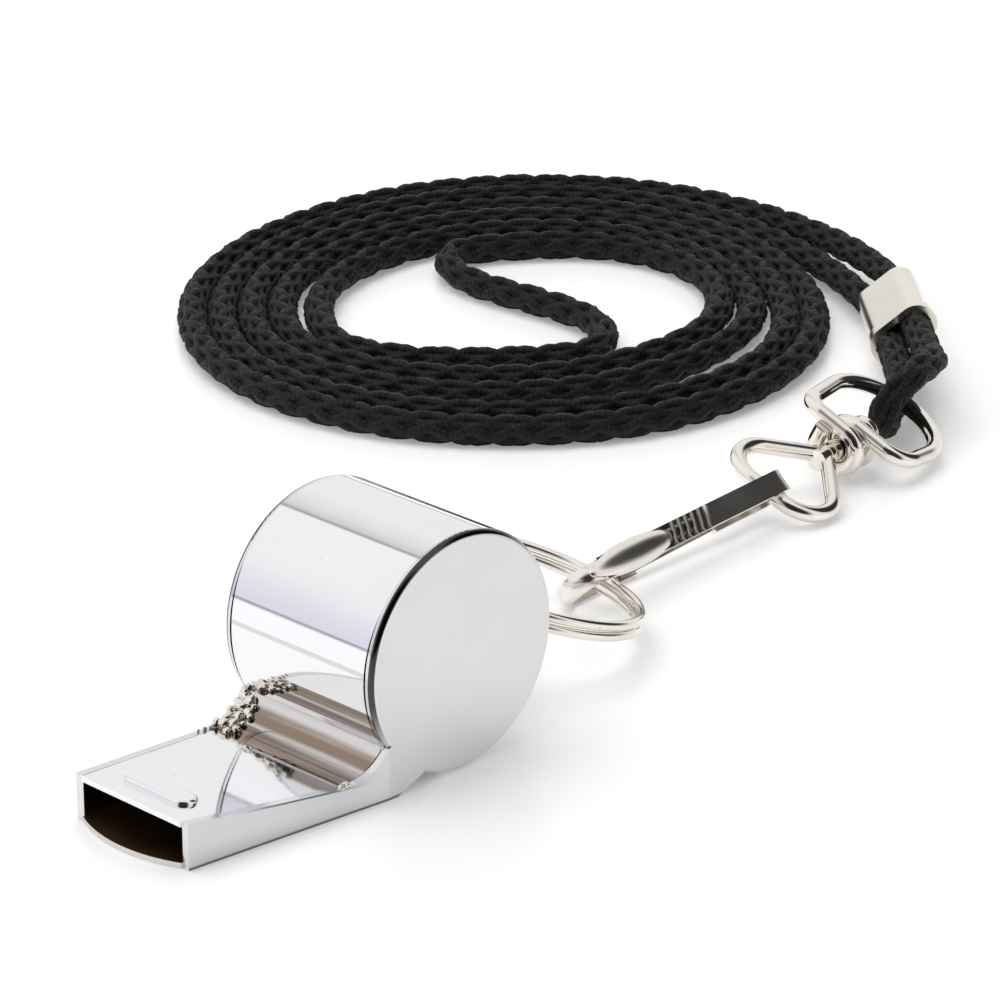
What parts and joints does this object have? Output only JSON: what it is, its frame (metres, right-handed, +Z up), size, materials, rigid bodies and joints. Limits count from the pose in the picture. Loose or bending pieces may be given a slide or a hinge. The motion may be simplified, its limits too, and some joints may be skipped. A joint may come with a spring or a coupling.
{
  "type": "sports whistle with neck cord",
  "caption": "Metal pea whistle with a split ring, snap hook, wire swivel and a coiled black braided neck cord held by a crimped ferrule.",
  "frame": {"origin": "centre of the windway plate's underside, on the table plane", "axes": "+X from the mouthpiece towards the ring and chain, +Z up from the table, +Y to the left of the whistle seen from its mouthpiece"},
  "size_m": [0.1591, 0.115, 0.022],
  "materials": {
    "nickel_body": "polished nickel plate",
    "cork": "raw cork",
    "ring_wire": "polished nickel plate",
    "hook_plate": "nickel plate, worn at the grip ridges",
    "spring_steel": "bare spring steel",
    "swivel_wire": "polished nickel plate",
    "ferrule_metal": "satin",
    "cord_black": "braided synthetic, slight sheen"
  },
  "bodies": {
    "whistle": {"barrel_band": "nickel_body", "mouthpiece_plate": "nickel_body", "windway_plate": "nickel_body", "left_side_plate": "nickel_body", "right_side_plate": "nickel_body", "ring_lug": "nickel_body"},
    "pea": {"cork_pea": "cork"},
    "ring": {"split_ring": "ring_wire"},
    "hook": {"hook_body": "hook_plate"},
    "gate": {"spring_gate": "spring_steel"},
    "swivel": {"swivel_loop": "swivel_wire"},
    "eye": {"cord_ring": "swivel_wire"},
    "cord": {"ferrule": "ferrule_metal", "neck_cord": "cord_black", "clip_loop": "cord_black"}
  },
  "joints": [
    {"name": "pea_roll", "type": "hinge", "parent": "whistle", "child": "pea", "pos_m": [0.0191, 0, 0.011], "axis": [0, 1, 0], "continuous": true},
    {"name": "ring_swing", "type": "hinge", "parent": "whistle", "child": "ring", "pos_m": [0.0332, 0, 0.008], "axis": [-0.4961, 0.8239, 0.274], "range_deg": [-50, 30]},
    {"name": "hook_swing", "type": "hinge", "parent": "ring", "child": "hook", "pos_m": [0.05311, 0.00747, 0.00254], "axis": [-0.0651, 0.9857, 0.1557], "range_deg": [-25, 25]},
    {"name": "gate_press", "type": "hinge", "parent": "hook", "child": "gate", "pos_m": [0.07157, 0.00982, 0.00199], "axis": [-0.0678, 0.7039, 0.7071], "range_deg": [0, 9], "stiffness_Nm_per_rad": 0.02},
    {"name": "swivel_swing", "type": "hinge", "parent": "hook", "child": "swivel", "pos_m": [0.07984, 0.00938, 0.00322], "axis": [-0.1554, 0.8929, 0.4226], "range_deg": [-25, 25]},
    {"name": "swivel_turn", "type": "hinge", "parent": "swivel", "child": "eye", "pos_m": [0.09118, 0.01128, 0.00338], "axis": [0.9862, 0.165, 0.014], "continuous": true},
    {"name": "cord_swing", "type": "hinge", "parent": "eye", "child": "cord", "pos_m": [0.10609, 0.01364, 0.00386], "axis": [-0.1533, 0.8777, 0.4539], "range_deg": [-20, 20]}
  ]
}
